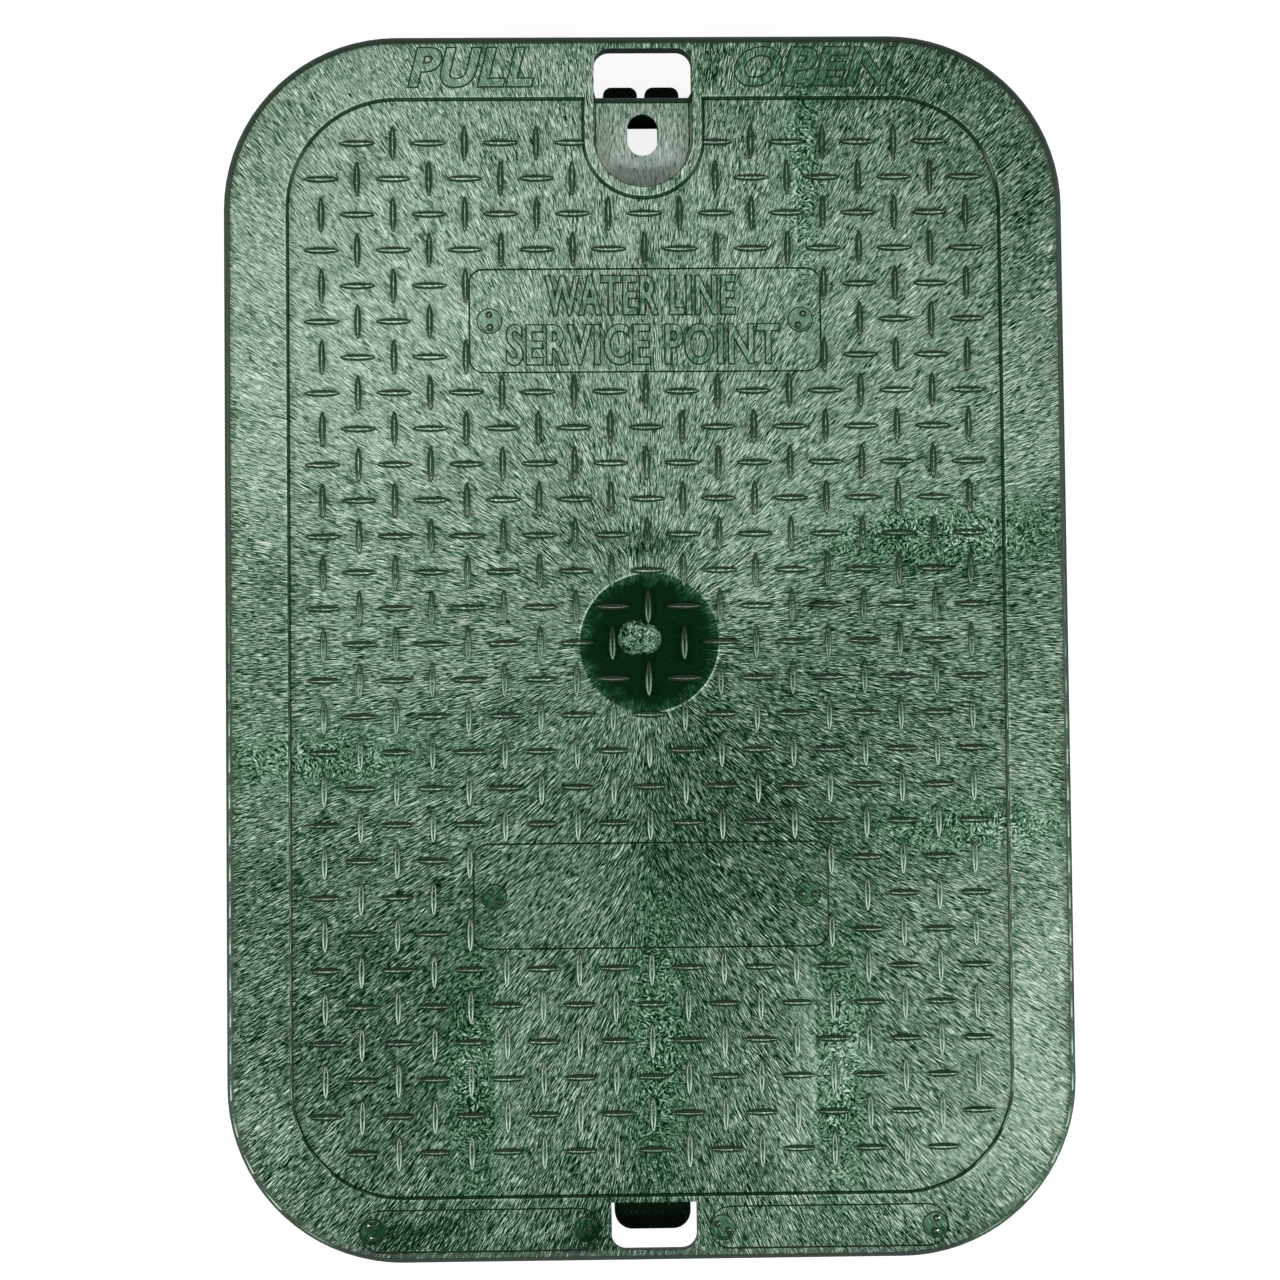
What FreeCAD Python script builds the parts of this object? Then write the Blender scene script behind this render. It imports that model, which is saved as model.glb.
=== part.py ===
import FreeCAD
import Part
import math
import os

# Valve box cover, moulded in one piece. Millimetres, +Z up, +Y towards the end with the lift slot.
# The origin lies under the middle of the cover, on the plane that its skirt stands on.

# The whole cover
length = 431.8
width = 297.4
height = 38.0
corner_radius = 61.4

# The rim, which overhangs the skirt and lies on top of the box
rim_width = 22.0
rim_thickness = 8.6
rim_overhang = 20.1
rim_edge_radius = 3.0

# The sunk tread field inside the rim
field_sink = 1.5
field_border = 0.8
field_thickness = 6.0

# Tread ribs, in a checkered pattern of ribs along X and along Y
tread_pitch = 12.7
tread_margin = 5.0
tread_length = 12.4
tread_width = 2.4
tread_height = 1.2
tread_ridge_length = 8.8
tread_root = 0.6

# The skirt, which goes down inside the box
skirt_wall = 6.0

# Stiffening ribs below the field
cell_columns = 4
cell_rows = 5
stiffener_root = 4.0
stiffener_tip = 3.0
stiffener_depth = 18.0

# The lock recess, a sunk shelf with a bolt hole, and the raised lip round it
recess_width = 34.8
recess_draft = 0.7
recess_sink = 9.5
recess_floor = 5.0
recess_from_edge = 54.1
lip_width = 3.4
shelf_edge_radius = 2.0
bolt_hole_width = 10.8
bolt_hole_length = 14.9
bolt_hole_setback = 13.8

# The lift slot and the rear slot, through the overhanging rim
lift_slot_bridge = 4.6
lift_slot_radius = 5.6
rear_slot_width = 30.0
rear_slot_bridge = 3.6
rear_slot_radius = 5.2

# Two snap fingers on the skirt below the lift slot, which catch under the lip of the box
finger_width = 12.3
finger_gap = 2.7
finger_reach = 6.2
finger_drop = 14.4
finger_nose = 4.0
finger_ramp = 9.0
finger_radius = 3.0

# The tongue on the skirt below the rear slot, which goes under the lip of the box
tongue_width = 26.8
tongue_reach = 11.0
tongue_drop = 10.4
tongue_thickness = 7.0
tongue_radius = 6.2

# Shallow plates for lettering: two in the field and two with round ends on the rear rim
plate_width = 125.0
plate_height = 37.3
plate_radius = 5.3
plate_sink = 0.4
upper_plate_pitches = 9
lower_plate_pitches = -7
rim_plate_length = 84.0
rim_plate_width = 15.0
rim_plate_spacing = 122.0
rim_plate_from_edge = 11.1

# The stub of the gate, where the plastic came in, in place of one tread rib
gate_x = -4.8
gate_y = 1.6
gate_radius = 5.6
gate_height = 0.8
gate_slope = 0.6

# How far a cutting or joining solid runs past the face that it crosses
overrun = 1.0

half_width = width / 2
half_length = length / 2
rim_under = height - rim_thickness
field_top = height - field_sink
field_under = field_top - field_thickness
shelf_top = height - recess_sink
shelf_under = shelf_top - recess_floor
skirt_face = half_length - rim_overhang
skirt_inside = skirt_face - skirt_wall
recess_centre = half_length - recess_from_edge + recess_width / 2
lip_half = recess_width / 2 + lip_width
plate_middles = [upper_plate_pitches * tread_pitch, lower_plate_pitches * tread_pitch]


def vec(x, y, z):
    return FreeCAD.Vector(x, y, z)


def rounded_wire(x0, x1, y0, y1, radii, z):
    """A rectangle with a radius for each corner, from the lower left corner and anticlockwise."""
    corners = [(x0, y0, 1, 1), (x1, y0, -1, 1), (x1, y1, -1, -1), (x0, y1, 1, -1)]
    stretches = []
    for index, ((x, y, inward_x, inward_y), radius) in enumerate(zip(corners, radii)):
        on_x_side = vec(x + inward_x * radius, y, z)
        on_y_side = vec(x, y + inward_y * radius, z)
        cut = radius * (1 - math.sqrt(0.5))
        middle = vec(x + inward_x * cut, y + inward_y * cut, z)
        first, last = (on_y_side, on_x_side) if index % 2 == 0 else (on_x_side, on_y_side)
        stretches.append((first, middle, last, radius))
    edges = []
    for index, (first, middle, last, radius) in enumerate(stretches):
        if radius > 0:
            edges.append(Part.Arc(first, middle, last).toShape())
        following = stretches[(index + 1) % len(stretches)][0]
        if last.distanceToPoint(following) > 1e-6:
            edges.append(Part.LineSegment(last, following).toShape())
    return Part.Wire(edges)


def outline(inset, z):
    """The cover's rounded outline, moved inwards by inset."""
    x = half_width - inset
    y = half_length - inset
    return rounded_wire(-x, x, -y, y, [corner_radius - inset] * 4, z)


def u_wire(half, far, z):
    """The recess's plan: a half circle about its centre, with straight sides that run to Y = far."""
    left = vec(-half, recess_centre, z)
    right = vec(half, recess_centre, z)
    left_far = vec(-half, far, z)
    right_far = vec(half, far, z)
    bend = Part.Arc(left, vec(0, recess_centre - half, z), right).toShape()
    sides = [(right, right_far), (right_far, left_far), (left_far, left)]
    return Part.Wire([bend] + [Part.LineSegment(a, b).toShape() for a, b in sides])


def prism(wire, rise):
    return Part.Face(wire).extrude(vec(0, 0, rise))


def between(lower, upper):
    """A solid with straight sides between two outlines of the same kind."""
    return Part.makeLoft([lower, upper], True, True)


def near(value, target):
    return abs(value - target) < 1e-4


def edges_where(shape, test):
    """The edges whose points all pass a test."""
    return [edge for edge in shape.Edges if all(test(point) for point in edge.discretize(5))]


def rim_slab():
    """The rim and what it surrounds, as one slab with a rounded outer edge."""
    slab = prism(outline(0, rim_under), rim_thickness)
    return slab.makeFillet(rim_edge_radius, edges_where(slab, lambda p: near(p.z, height)))


def skirt_block():
    """The block below the rim, which the hollow turns into the skirt."""
    return prism(outline(rim_overhang, 0), rim_under + overrun)


def skirt_hollow():
    """The room inside the skirt, up to the field's underside."""
    return prism(outline(rim_overhang + skirt_wall, -overrun), field_under + overrun)


def stiffener(along_x, place, reach):
    """One tapered rib below the field, through the middle of the skirt's walls."""
    top = field_under + overrun
    foot = field_under - stiffener_depth
    profile = [(-stiffener_root / 2, top), (stiffener_root / 2, top), (stiffener_root / 2, field_under),
               (stiffener_tip / 2, foot), (-stiffener_tip / 2, foot), (-stiffener_root / 2, field_under)]
    if along_x:
        corners = [vec(-reach, place + offset, z) for offset, z in profile]
        run = vec(2 * reach, 0, 0)
    else:
        corners = [vec(place + offset, -reach, z) for offset, z in profile]
        run = vec(0, 2 * reach, 0)
    return Part.Face(Part.makePolygon(corners + corners[:1])).extrude(run)


def stiffeners():
    """Ribs that divide the room inside the skirt into equal cells."""
    inside_x = half_width - rim_overhang - skirt_wall
    ribs = []
    for number in range(1, cell_columns):
        x = inside_x * (2 * number / cell_columns - 1)
        ribs.append(stiffener(False, x, skirt_inside + skirt_wall / 2))
    for number in range(1, cell_rows):
        y = skirt_inside * (2 * number / cell_rows - 1)
        ribs.append(stiffener(True, y, inside_x + skirt_wall / 2))
    return ribs


def recess_boss():
    """The wall and floor of the lock recess, where they reach below the field."""
    return prism(u_wire(lip_half, skirt_inside + overrun, shelf_under), field_under + overrun - shelf_under)


def shelf_clearance():
    """Room below the recess's floor, so that no stiffening rib crosses the bolt."""
    return prism(u_wire(lip_half, skirt_inside, -overrun), shelf_under + overrun)


def field_pocket():
    """What is cut to sink the field: it leaves the rim and the lip round the recess standing."""
    slope = field_border / field_sink * overrun
    pocket = between(outline(rim_width + field_border, field_top),
                     outline(rim_width - slope, height + overrun))
    lip = between(u_wire(lip_half + field_border, half_length, field_top),
                  u_wire(lip_half - slope, half_length, height + overrun))
    return pocket.cut(lip)


def recess_cut():
    """The recess above its shelf, with drafted walls."""
    half = recess_width / 2
    slope = recess_draft / recess_sink * overrun
    far = skirt_face + overrun
    return between(u_wire(half - recess_draft, far, shelf_top), u_wire(half + slope, far, height + overrun))


def lift_slot_cut():
    half = recess_width / 2
    wire = rounded_wire(-half, half, skirt_face, half_length - lift_slot_bridge,
                        [0, 0, lift_slot_radius, lift_slot_radius], rim_under - overrun)
    return prism(wire, rim_thickness + 2 * overrun)


def rear_slot_cut():
    half = rear_slot_width / 2
    wire = rounded_wire(-half, half, -half_length + rear_slot_bridge, -skirt_face,
                        [rear_slot_radius, rear_slot_radius, 0, 0], rim_under - overrun)
    return prism(wire, rim_thickness + 2 * overrun)


def bolt_hole_cut():
    half_x = bolt_hole_width / 2
    half_y = bolt_hole_length / 2
    middle = skirt_face - bolt_hole_setback
    wire = rounded_wire(-half_x, half_x, middle - half_y, middle + half_y,
                        [half_x] * 4, shelf_under - overrun)
    return prism(wire, recess_floor + 2 * overrun)


def snap_finger(middle):
    """A hook on the skirt: flat on top, with a nose that is round in plan and a ramp up from below."""
    root = skirt_face - skirt_wall / 2
    tip = skirt_face + finger_reach
    half = finger_width / 2
    top = rim_under - finger_drop
    nose = top - finger_nose
    foot = nose - finger_ramp
    plan = rounded_wire(middle - half, middle + half, root, tip, [0, 0, finger_radius, finger_radius], foot)
    side = [vec(-half_width, root, top), vec(-half_width, tip, top), vec(-half_width, tip, nose),
            vec(-half_width, skirt_face, foot), vec(-half_width, root, foot)]
    profile = Part.Face(Part.makePolygon(side + side[:1])).extrude(vec(width, 0, 0))
    return prism(plan, top - foot).common(profile)


def snap_fingers():
    offset = (finger_width + finger_gap) / 2
    return [snap_finger(-offset), snap_finger(offset)]


def tongue():
    half = tongue_width / 2
    wire = rounded_wire(-half, half, -skirt_face - tongue_reach, -skirt_face + skirt_wall / 2,
                        [tongue_radius, tongue_radius, 0, 0], rim_under - tongue_drop - tongue_thickness)
    return prism(wire, tongue_thickness)


def plate_cut(x, y, size_x, size_y, radius, surface):
    wire = rounded_wire(x - size_x / 2, x + size_x / 2, y - size_y / 2, y + size_y / 2,
                        [radius] * 4, surface - plate_sink)
    return prism(wire, plate_sink + overrun)


def plate_cuts():
    cuts = []
    for middle in plate_middles:
        cuts.append(plate_cut(0, middle, plate_width, plate_height, plate_radius, field_top))
    for side in (-1, 1):
        cuts.append(plate_cut(side * rim_plate_spacing / 2, rim_plate_from_edge - half_length,
                              rim_plate_length, rim_plate_width, rim_plate_width / 2, height))
    return cuts


def gate_stub():
    """The low stub that is left where the gate was broken off."""
    stub = Part.makeCone(gate_radius, gate_radius - gate_slope, gate_height, vec(gate_x, gate_y, field_top))
    root = Part.makeCylinder(gate_radius, tread_root, vec(gate_x, gate_y, field_top - tread_root))
    return stub.fuse(root)


def inside_field(x, y):
    """Whether a rib's middle keeps the margin to the field's border, at its round corners too."""
    inset = rim_width + tread_margin
    radius = corner_radius - inset
    from_x = max(abs(x) - (half_width - inset - radius), 0)
    from_y = max(abs(y) - (half_length - inset - radius), 0)
    return math.hypot(from_x, from_y) <= radius


def in_recess(x, y):
    """Whether a rib's middle lies in the lock recess or under its lip."""
    return math.hypot(x, min(y - recess_centre, 0)) < lip_half


def at_gate(x, y):
    return math.hypot(x - gate_x, y - gate_y) < gate_radius


def on_plate(x, y, along_x):
    """Whether a rib reaches onto a lettering plate by more than half its own width."""
    reach = (tread_length - tread_width) / 2
    reach_x = plate_width / 2 + (reach if along_x else 0)
    reach_y = plate_height / 2 + (0 if along_x else reach)
    return any(abs(x) < reach_x and abs(y - middle) < reach_y for middle in plate_middles)


def tread_rib():
    """One rib along X at the middle of the cover: a spindle with a level ridge and a root in the field."""
    tip = vec(tread_length / 2, 0, 0)
    side = vec(0, tread_width / 2, 0)
    ridge_end = vec(tread_ridge_length / 2, 0, tread_height)
    ridge_start = vec(-tread_ridge_length / 2, 0, tread_height)
    faces = []
    for across in (side, -side):
        faces += [[-tip, across, ridge_start], [across, ridge_end, ridge_start], [across, tip, ridge_end]]
    down = vec(0, 0, -tread_root)
    plan = [tip, side, -tip, -side]
    for here, following in zip(plan, plan[1:] + plan[:1]):
        faces.append([here, following, following + down, here + down])
    faces.append([corner + down for corner in plan])
    shell = Part.Shell([Part.Face(Part.makePolygon(corners + corners[:1])) for corners in faces])
    return Part.Solid(shell).translated(vec(0, 0, field_top))


def tread_ribs():
    """All the ribs, each turned a quarter from its neighbours."""
    reach = rim_width + tread_margin + tread_length / 2
    columns = int((half_width - reach) / tread_pitch)
    rows = int((half_length - reach) / tread_pitch)
    rib_along_x = tread_rib()
    rib_along_y = rib_along_x.copy()
    rib_along_y.rotate(vec(0, 0, 0), vec(0, 0, 1), 90)
    ribs = []
    for row in range(-rows, rows + 1):
        for column in range(-columns, columns + 1):
            x = column * tread_pitch
            y = row * tread_pitch
            along_x = (row + column) % 2 == 0
            left_out = in_recess(x, y) or at_gate(x, y) or on_plate(x, y, along_x)
            if inside_field(x, y) and not left_out:
                rib = rib_along_x if along_x else rib_along_y
                ribs.append(rib.translated(vec(x, y, 0)))
    return ribs


def cover():
    """The whole moulding."""
    shell = rim_slab().fuse(skirt_block()).cut(skirt_hollow())
    shell = shell.fuse(stiffeners() + [recess_boss()])
    shell = shell.cut([shelf_clearance(), field_pocket(), recess_cut()])
    shell = shell.cut([lift_slot_cut(), rear_slot_cut(), bolt_hole_cut()]).removeSplitter()
    shelf_edge = edges_where(shell, lambda p: near(p.z, shelf_top) and near(p.y, skirt_face))
    shell = shell.makeFillet(shelf_edge_radius, shelf_edge)
    shell = shell.fuse(snap_fingers() + [tongue()]).cut(plate_cuts()).removeSplitter()
    return shell.fuse(tread_ribs() + [gate_stub()]).Solids[0]


model = cover()
os.makedirs("parts", exist_ok=True)
model.exportStep("parts/cover.step")
print("cover: valid", model.isValid(), "volume", round(model.Volume), "faces", len(model.Faces))
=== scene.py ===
# %% [markdown]
# # A valve box cover, from solid model to picture
# The cover is one moulding of green foamed plastic: a rim, a sunk field of small tread ribs, two lettering
# plates, a lock recess and two slots. The solid model has all of those at their real size. What it lacks is
# the soft shape of the ribs, the words, the marks of the mould and above all the swirled finish, and this
# file adds them. Sizes are in millimetres, and MM turns them into Blender's metres.

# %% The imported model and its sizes
import bpy
import math
from mathutils import Matrix, Vector


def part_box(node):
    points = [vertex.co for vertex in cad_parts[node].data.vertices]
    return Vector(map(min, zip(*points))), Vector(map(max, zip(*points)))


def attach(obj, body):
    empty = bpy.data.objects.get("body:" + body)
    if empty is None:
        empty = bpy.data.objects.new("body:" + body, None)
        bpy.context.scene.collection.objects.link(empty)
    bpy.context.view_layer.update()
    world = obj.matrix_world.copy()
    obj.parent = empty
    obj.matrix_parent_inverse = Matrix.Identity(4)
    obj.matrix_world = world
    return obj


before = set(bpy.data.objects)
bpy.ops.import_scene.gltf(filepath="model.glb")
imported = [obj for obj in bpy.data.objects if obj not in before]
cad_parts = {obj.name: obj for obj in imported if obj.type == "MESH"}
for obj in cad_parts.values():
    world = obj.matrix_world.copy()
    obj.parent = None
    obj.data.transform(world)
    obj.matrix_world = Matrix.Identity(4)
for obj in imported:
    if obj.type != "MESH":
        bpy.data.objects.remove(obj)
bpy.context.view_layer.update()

MM = 0.001
field_sink, plate_sink = 1.5, 0.4
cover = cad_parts["cover"]
low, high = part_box("cover")
half_width, half_length, rim_top = (side / MM for side in high)
field_top = rim_top - field_sink
plate_floor = field_top - plate_sink
rim_plate_floor = rim_top - plate_sink
print("cover", [round((b - a) / MM, 1) for a, b in zip(low, high)], "mm, rim top at", round(rim_top, 2))


# %% Helpers for selecting
def deselect_all():
    bpy.ops.object.select_all(action="DESELECT")


def select_only(piece):
    deselect_all()
    piece.select_set(True)
    bpy.context.view_layer.objects.active = piece


def select_vertices(piece, test):
    """In edit mode, select the vertices whose place in millimetres passes a test."""
    bpy.ops.mesh.select_mode(type="VERT")
    bpy.ops.mesh.select_all(action="DESELECT")
    bpy.ops.object.mode_set(mode="OBJECT")
    for vertex in piece.data.vertices:
        vertex.select = bool(test(vertex.co / MM))
    bpy.ops.object.mode_set(mode="EDIT")


def select_faces(piece, test):
    """In edit mode, select the faces whose normal passes a test."""
    bpy.ops.mesh.select_mode(type="FACE")
    bpy.ops.mesh.select_all(action="DESELECT")
    bpy.ops.object.mode_set(mode="OBJECT")
    for face in piece.data.polygons:
        face.select = bool(test(face.normal))
    bpy.ops.object.mode_set(mode="EDIT")


def faces_up(normal):
    return normal.z > 0.9


def faces_down(normal):
    return normal.z < -0.9


# %% Helpers for shaping and placing
def resize_ring(old, new):
    """Scale what is selected about the Z axis, from old half sizes along X and Y to new ones."""
    bpy.ops.transform.resize(value=(new[0] / old[0], new[1] / old[1], 1), center_override=(0, 0, 0))


def settle(piece, name):
    """Put a finished piece's place into its mesh, point its faces outwards and name it."""
    select_only(piece)
    bpy.ops.object.transform_apply(location=True, rotation=True, scale=True)
    bpy.ops.object.mode_set(mode="EDIT")
    bpy.ops.mesh.select_all(action="SELECT")
    bpy.ops.mesh.normals_make_consistent(inside=False)
    bpy.ops.object.mode_set(mode="OBJECT")
    piece.name = name
    return piece


def join_pieces(pieces, name):
    select_only(pieces[0])
    for piece in pieces:
        piece.select_set(True)
    bpy.ops.object.join()
    joined = bpy.context.active_object
    joined.name = name
    return joined


def place_copies(pattern, places, name):
    """Copy a piece modelled at the origin to places of (x, y, z, turn in degrees), and join the copies."""
    copies = []
    for x, y, z, turn in places:
        one = pattern.copy()
        one.data = pattern.data.copy()
        spin = Matrix.Rotation(math.radians(turn), 4, "Z")
        one.data.transform(Matrix.Translation((x * MM, y * MM, z * MM)) @ spin)
        bpy.context.collection.objects.link(one)
        copies.append(one)
    bpy.data.objects.remove(pattern)
    return join_pieces(copies, name)


# %% [markdown]
# ## Tread ribs
# Each rib is a small lens of plastic, about half an inch long, with sloping sides and a narrow rounded crown.
# The solid model has them as sharp spindles, which keeps it light. Here one rib is shaped from a cylinder: it
# is squeezed to a lens, its top ring is drawn in for the sides, and three more rings round off the crown. It
# is a little larger than the spindle, so copies of it cover all of them. Ribs along X and along Y take turns,
# as on tread plate.

# %% One tread rib
rib_sides, rib_smooth = 16, math.radians(60)
rib_sunk = 0.3
rib_rings = (
    # half length, half width, height above the field
    (6.40, 1.40, -rib_sunk),
    (6.28, 1.10, 0.66),
    (6.10, 0.82, 0.90),
    (5.80, 0.52, 1.08),
    (5.40, 0.08, 1.23),
)


def tread_rib():
    deselect_all()
    base_x, base_y, base_z = rib_rings[0]
    depth = rib_rings[1][2] - base_z
    bpy.ops.mesh.primitive_cylinder_add(vertices=rib_sides, radius=base_x * MM, depth=depth * MM,
                                        location=(0, 0, (base_z + depth / 2) * MM))
    rib = bpy.context.active_object
    bpy.ops.object.transform_apply(location=True)
    bpy.ops.object.mode_set(mode="EDIT")
    resize_ring((base_x, base_x), (base_x, base_y))
    select_vertices(rib, lambda p: p.z > 0)
    resize_ring(rib_rings[0], rib_rings[1])
    select_faces(rib, faces_up)
    for ring, next_ring in zip(rib_rings[1:], rib_rings[2:]):
        rise = next_ring[2] - ring[2]
        bpy.ops.mesh.extrude_region_move(TRANSFORM_OT_translate={"value": (0, 0, rise * MM)})
        resize_ring(ring, next_ring)
    bpy.ops.object.mode_set(mode="OBJECT")
    settle(rib, "tread_rib")
    bpy.ops.object.shade_smooth_by_angle(angle=rib_smooth)
    return rib


# %% The places of the ribs
tread_pitch = 12.7
rib_length, rib_width = 12.4, 2.4
rib_margin = 27.0
corner_radius = 61.4
recess_inset, lip_half = 36.7, 20.8
recess_centre = half_length - recess_inset
stub_x, stub_y, stub_radius = -4.8, 1.6, 5.6
plate_width, plate_height, plate_radius = 125.0, 37.3, 5.3
upper_plate_y, lower_plate_y = 9 * tread_pitch, -7 * tread_pitch


def on_plate(x, y, along_x):
    """Whether a rib at this place would reach onto a lettering plate."""
    reach = (rib_length - rib_width) / 2
    reach_x = plate_width / 2 + (reach if along_x else 0)
    reach_y = plate_height / 2 + (0 if along_x else reach)
    return abs(x) < reach_x and any(abs(y - middle) < reach_y for middle in (upper_plate_y, lower_plate_y))


def has_rib(x, y, along_x):
    """Whether a place in the pattern has a rib: not at the rim, in the recess, at the stub or on a plate."""
    from_x = max(abs(x) - (half_width - corner_radius), 0)
    from_y = max(abs(y) - (half_length - corner_radius), 0)
    at_rim = math.hypot(from_x, from_y) > corner_radius - rib_margin
    in_recess = math.hypot(x, min(y - recess_centre, 0)) < lip_half
    at_stub = math.hypot(x - stub_x, y - stub_y) < stub_radius
    return not (at_rim or in_recess or at_stub or on_plate(x, y, along_x))


# %% The ribs in their places
columns = int((half_width - rib_margin - rib_length / 2) / tread_pitch)
rows = int((half_length - rib_margin - rib_length / 2) / tread_pitch)
rib_places = []
for row in range(-rows, rows + 1):
    for column in range(-columns, columns + 1):
        along_x = (row + column) % 2 == 0
        if has_rib(column * tread_pitch, row * tread_pitch, along_x):
            rib_places.append((column * tread_pitch, row * tread_pitch, field_top, 0 if along_x else 90))
ribs = place_copies(tread_rib(), rib_places, "tread_ribs")
print("ribs", len(rib_places), "faces", len(ribs.data.polygons))

# %% [markdown]
# ## Seams of the mould inserts
# The two lettering plates and the two long plates on the rear rim were separate inserts in the mould. A
# little plastic crept into the joint round each one and left a fine raised line. It is made flat first: a
# rectangle with beveled corners is inset twice, the band between the insets is kept, and its middle ring is
# lifted.

# %% The seams
# The seam's steep sides get the painted shade of all slopes, so it also draws a dark line of painted shade
# along the edge of each plate.
seam_width, seam_height, seam_corner_steps = 0.6, 0.25, 8
rim_plate_length, rim_plate_width = 84.0, 15.0
rim_plate_x, rim_plate_y = 61.0, -half_length + 11.1
rim_plate_radius = rim_plate_width / 2 - 0.01


def insert_seam(x, y, size_x, size_y, radius, floor):
    deselect_all()
    bpy.ops.mesh.primitive_plane_add(size=1.0, location=(0, 0, 0))
    seam = bpy.context.active_object
    bpy.ops.object.mode_set(mode="EDIT")
    bpy.ops.transform.resize(value=(size_x * MM, size_y * MM, 1), center_override=(0, 0, 0))
    bpy.ops.mesh.bevel(offset=radius * MM, segments=seam_corner_steps, affect="VERTICES")
    bpy.ops.mesh.select_all(action="SELECT")
    bpy.ops.mesh.inset(thickness=seam_width / 2 * MM, depth=seam_height * MM)
    bpy.ops.mesh.inset(thickness=seam_width / 2 * MM, depth=-seam_height * MM)
    bpy.ops.mesh.delete(type="FACE")
    bpy.ops.object.mode_set(mode="OBJECT")
    seam.location = (x * MM, y * MM, floor * MM)
    return settle(seam, "seam")


seams = []
for middle in (upper_plate_y, lower_plate_y):
    seams.append(insert_seam(0, middle, plate_width, plate_height, plate_radius, plate_floor))
for side in (-1, 1):
    seams.append(insert_seam(side * rim_plate_x, rim_plate_y, rim_plate_length, rim_plate_width,
                             rim_plate_radius, rim_plate_floor))
seams = join_pieces(seams, "insert_seams")
print("seams", len(seams.data.polygons), "faces")

# %% [markdown]
# ## Round marks
# At both ends of each insert a screw held it, and the screw's head left a round print: a ring, a shallow dish
# and two small nubs from the holes of a pin wrench. One print is made from a cylinder whose top is inset for
# the ring and pressed down a little for the dish. The nubs are short cones. The mark left of the rear slot
# has a single nub near its middle.

# %% One round mark
mark_radius, mark_height, mark_sides = 4.6, 0.4, 32
ring_slope, ring_width, dish_depth = 0.45, 0.30, 0.06
nub_base, nub_top, nub_height, nub_sides = 2.0, 0.45, 0.8, 12


def round_mark(nub_places):
    deselect_all()
    bpy.ops.mesh.primitive_cylinder_add(vertices=mark_sides, radius=mark_radius * MM,
                                        depth=2 * mark_height * MM, location=(0, 0, 0))
    mark = bpy.context.active_object
    bpy.ops.object.mode_set(mode="EDIT")
    foot_radius, top_radius = mark_radius + ring_slope, mark_radius - ring_slope
    select_faces(mark, faces_down)
    resize_ring((mark_radius, mark_radius), (foot_radius, foot_radius))
    select_faces(mark, faces_up)
    resize_ring((mark_radius, mark_radius), (top_radius, top_radius))
    bpy.ops.mesh.inset(thickness=ring_width * MM)
    bpy.ops.mesh.inset(thickness=ring_slope * MM, depth=-dish_depth * MM)
    bpy.ops.object.mode_set(mode="OBJECT")
    pieces = [settle(mark, "mark")]
    for x, y in nub_places:
        deselect_all()
        bpy.ops.mesh.primitive_cone_add(vertices=nub_sides, radius1=nub_base * MM, radius2=nub_top * MM,
                                        depth=nub_height * MM,
                                        location=(x * MM, y * MM, nub_height / 2 * MM))
        pieces.append(settle(bpy.context.active_object, "nub"))
    return join_pieces(pieces, "mark")


# %% The marks in their places
plate_mark_x, rim_mark_inner, rim_mark_outer = 55.1, 23.7, 98.3
nub_pair, lone_nub = [(0, -2.2), (0, 2.2)], [(0.2, -0.2)]
double_marks = [
    # x, y, floor, turn in degrees
    (-plate_mark_x, upper_plate_y, plate_floor, 4),
    (plate_mark_x, upper_plate_y, plate_floor, -24),
    (-plate_mark_x, lower_plate_y, plate_floor, 35),
    (plate_mark_x, lower_plate_y, plate_floor, 88),
    (-rim_mark_outer, rim_plate_y, rim_plate_floor, 12),
    (rim_mark_inner, rim_plate_y, rim_plate_floor, 60),
    (rim_mark_outer, rim_plate_y, rim_plate_floor, -8),
]
single_marks = [(-rim_mark_inner, rim_plate_y, rim_plate_floor, 0)]
marks = join_pieces([place_copies(round_mark(nub_pair), double_marks, "double"),
                     place_copies(round_mark(lone_nub), single_marks, "single")], "insert_marks")
print("marks", len(double_marks) + len(single_marks), "faces", len(marks.data.polygons))

# %% [markdown]
# ## Words
# The front rim and the upper plate carry plain raised words. Text is turned into curves, because a curve can
# be stretched to its place first and then given sides of an even slope by its bevel. As a mesh it would have
# to be stretched after the bevel, and upright sides would come out thinner.

# %% Helpers for raised words
letter_spacing, letter_steps = 1.1, 4
merge_distance = 0.01


def stretch_to(curve, size_x, size_y):
    """Stretch a curve about its middle until its points fill a size in millimetres."""
    bezier_points = [point for spline in curve.splines for point in spline.bezier_points]
    x0, x1 = min(p.co.x for p in bezier_points), max(p.co.x for p in bezier_points)
    y0, y1 = min(p.co.y for p in bezier_points), max(p.co.y for p in bezier_points)
    fit = Matrix.Diagonal((size_x * MM / (x1 - x0), size_y * MM / (y1 - y0), 1, 1))
    curve.transform(fit @ Matrix.Translation((-(x0 + x1) / 2, -(y0 + y1) / 2, 0)))
    for spline in curve.splines:
        for point in spline.bezier_points:
            point.radius = 1.0


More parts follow.
